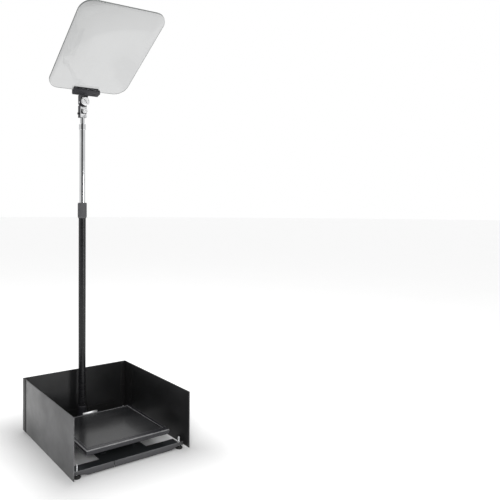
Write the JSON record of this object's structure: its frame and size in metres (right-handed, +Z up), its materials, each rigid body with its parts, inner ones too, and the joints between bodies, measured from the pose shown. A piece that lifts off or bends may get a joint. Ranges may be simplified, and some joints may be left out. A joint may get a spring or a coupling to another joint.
{
  "type": "teleprompter",
  "caption": "Floor-standing stage teleprompter: face-up monitor in an open shroud, with a leaning glass on a telescopic pole.",
  "frame": {"origin": "on the floor, at the centre of the shroud's footprint", "axes": "+Z up; -Y towards the reader, on the shroud's open side; +X to the reader's left, along the rear panel"},
  "size_m": [0.51, 0.497, 1.701],
  "materials": {
    "frame_steel": "satin black powder coat",
    "skirt_steel": "satin black powder coat",
    "laminate": "satin black laminate",
    "corner_black": "black",
    "zinc": "bright zinc",
    "chrome": "polished",
    "pole_black": "gloss black",
    "clutch_grey": "ribbed, dark grey",
    "bezel_plastic": "satin black",
    "screen": "dark screen",
    "diffuser": "white",
    "board": "green",
    "connector": "black",
    "video_blue": "blue",
    "rubber": "black",
    "black_alloy": "satin black",
    "silver_alloy": "satin",
    "dark_screw": "black oxide",
    "nylon": "natural",
    "button_black": "black",
    "mirror_glass": "partly reflecting coating"
  },
  "bodies": {
    "base": {"base_frame": "frame_steel", "front_skirt_left": "skirt_steel", "front_skirt_right": "skirt_steel", "rear_rail": "frame_steel", "monitor_riser": "frame_steel", "frame_screws": "dark_screw", "vesa_screws": "zinc", "monitor_clip": "silver_alloy", "pole_socket": "black_alloy", "socket_bolts": "dark_screw", "lower_tube": "pole_black", "clutch_body": "clutch_grey", "clutch_collet": "nylon", "rear_panel": "laminate", "left_corner_post": "corner_black", "right_corner_post": "corner_black", "left_hinge_fixed_leaf": "corner_black", "right_hinge_fixed_leaf": "corner_black", "hinge_pins": "zinc", "foot_lock_nuts": "zinc", "front_bezel": "bezel_plastic", "lcd_panel": "screen", "backlight": "diffuser", "rear_housing": "bezel_plastic", "main_board": "board", "power_inlet": "connector", "video_connector": "video_blue"},
    "left_wing": {"left_wing_panel": "laminate", "left_hinge_moving_leaf": "corner_black"},
    "right_wing": {"right_wing_panel": "laminate", "right_hinge_moving_leaf": "corner_black"},
    "sleeve": {"clutch_sleeve": "clutch_grey"},
    "upper_pole": {"upper_tube": "chrome", "tube_guide_plug": "nylon", "head_spigot": "chrome"},
    "head": {"swivel_body": "black_alloy", "swivel_faceplate": "silver_alloy"},
    "swivel_lock": {"swivel_knob": "silver_alloy"},
    "tilt_lock": {"tilt_knob": "silver_alloy"},
    "glass_holder": {"glass_yoke": "black_alloy", "upper_jaw": "black_alloy", "jaw_pads": "rubber", "clamp_screws": "dark_screw", "tilt_pin": "zinc", "glass": "mirror_glass"},
    "left_clamp": {"left_clamp_knob": "silver_alloy"},
    "right_clamp": {"right_clamp_knob": "silver_alloy"},
    "auto_button_key": {"auto_button": "button_black"},
    "down_button_key": {"down_button": "button_black"},
    "up_button_key": {"up_button": "button_black"},
    "menu_button_key": {"menu_button": "button_black"},
    "power_button_key": {"power_button": "button_black"},
    "foot_front_left_screw": {"foot_front_left": "rubber", "stud_front_left": "zinc"},
    "foot_front_right_screw": {"foot_front_right": "rubber", "stud_front_right": "zinc"},
    "foot_rear_left_screw": {"foot_rear_left": "rubber", "stud_rear_left": "zinc"},
    "foot_rear_right_screw": {"foot_rear_right": "rubber", "stud_rear_right": "zinc"}
  },
  "joints": [
    {"name": "left_wing_hinge", "type": "hinge", "parent": "base", "child": "left_wing", "pos_m": [-0.2518, 0.2135, 0.12], "axis": [0, 0, -1], "range_deg": [0, 95]},
    {"name": "right_wing_hinge", "type": "hinge", "parent": "base", "child": "right_wing", "pos_m": [0.2518, 0.2135, 0.12], "axis": [0, 0, 1], "range_deg": [0, 95]},
    {"name": "clutch_twist", "type": "hinge", "parent": "base", "child": "sleeve", "pos_m": [0, 0.196, 0.947], "axis": [0, 0, 1], "range_deg": [0, 180]},
    {"name": "pole_slide", "type": "slide", "parent": "base", "child": "upper_pole", "axis": [0, 0, 1], "range_m": [-0.3, 0.38]},
    {"name": "head_swivel", "type": "hinge", "parent": "upper_pole", "child": "head", "pos_m": [0, 0.196, 1.38], "axis": [0, 0, 1], "continuous": true},
    {"name": "glass_tilt", "type": "hinge", "parent": "head", "child": "glass_holder", "pos_m": [0, 0.196, 1.421], "axis": [0.9987, -0.0506, 0], "range_deg": [-58, 8]},
    {"name": "swivel_lock_turn", "type": "hinge", "parent": "head", "child": "swivel_lock", "pos_m": [0, 0.196, 1.38], "axis": [-0.0506, -0.9987, 0], "range_deg": [0, 270]},
    {"name": "tilt_lock_turn", "type": "hinge", "parent": "head", "child": "tilt_lock", "pos_m": [0, 0.196, 1.421], "axis": [-0.0506, -0.9987, 0], "range_deg": [0, 270]},
    {"name": "left_clamp_turn", "type": "hinge", "parent": "glass_holder", "child": "left_clamp", "pos_m": [-0.03902, 0.17672, 1.47677], "axis": [0.0264, 0.5218, 0.8526], "range_deg": [0, 270]},
    {"name": "right_clamp_turn", "type": "hinge", "parent": "glass_holder", "child": "right_clamp", "pos_m": [0.03688, 0.17288, 1.47677], "axis": [0.0264, 0.5218, 0.8526], "range_deg": [0, 270]},
    {"name": "auto_press", "type": "slide", "parent": "base", "child": "auto_button_key", "axis": [0, 1, 0], "range_m": [0, 0.0008], "stiffness_N_per_m": 600, "springref_m": -0.001},
    {"name": "down_press", "type": "slide", "parent": "base", "child": "down_button_key", "axis": [0, 1, 0], "range_m": [0, 0.0008], "stiffness_N_per_m": 600, "springref_m": -0.001},
    {"name": "up_press", "type": "slide", "parent": "base", "child": "up_button_key", "axis": [0, 1, 0], "range_m": [0, 0.0008], "stiffness_N_per_m": 600, "springref_m": -0.001},
    {"name": "menu_press", "type": "slide", "parent": "base", "child": "menu_button_key", "axis": [0, 1, 0], "range_m": [0, 0.0008], "stiffness_N_per_m": 600, "springref_m": -0.001},
    {"name": "power_press", "type": "slide", "parent": "base", "child": "power_button_key", "axis": [0, 1, 0], "range_m": [0, 0.0008], "stiffness_N_per_m": 600, "springref_m": -0.001},
    {"name": "foot_front_left_turn", "type": "hinge", "parent": "base", "child": "foot_front_left_screw", "pos_m": [-0.226, -0.215, 0.02], "axis": [0, 0, 1], "range_deg": [-360, 360]},
    {"name": "foot_front_right_turn", "type": "hinge", "parent": "base", "child": "foot_front_right_screw", "pos_m": [0.226, -0.215, 0.02], "axis": [0, 0, 1], "range_deg": [-360, 360]},
    {"name": "foot_rear_left_turn", "type": "hinge", "parent": "base", "child": "foot_rear_left_screw", "pos_m": [-0.226, 0.215, 0.02], "axis": [0, 0, 1], "range_deg": [-360, 360]},
    {"name": "foot_rear_right_turn", "type": "hinge", "parent": "base", "child": "foot_rear_right_screw", "pos_m": [0.226, 0.215, 0.02], "axis": [0, 0, 1], "range_deg": [-360, 360]}
  ]
}
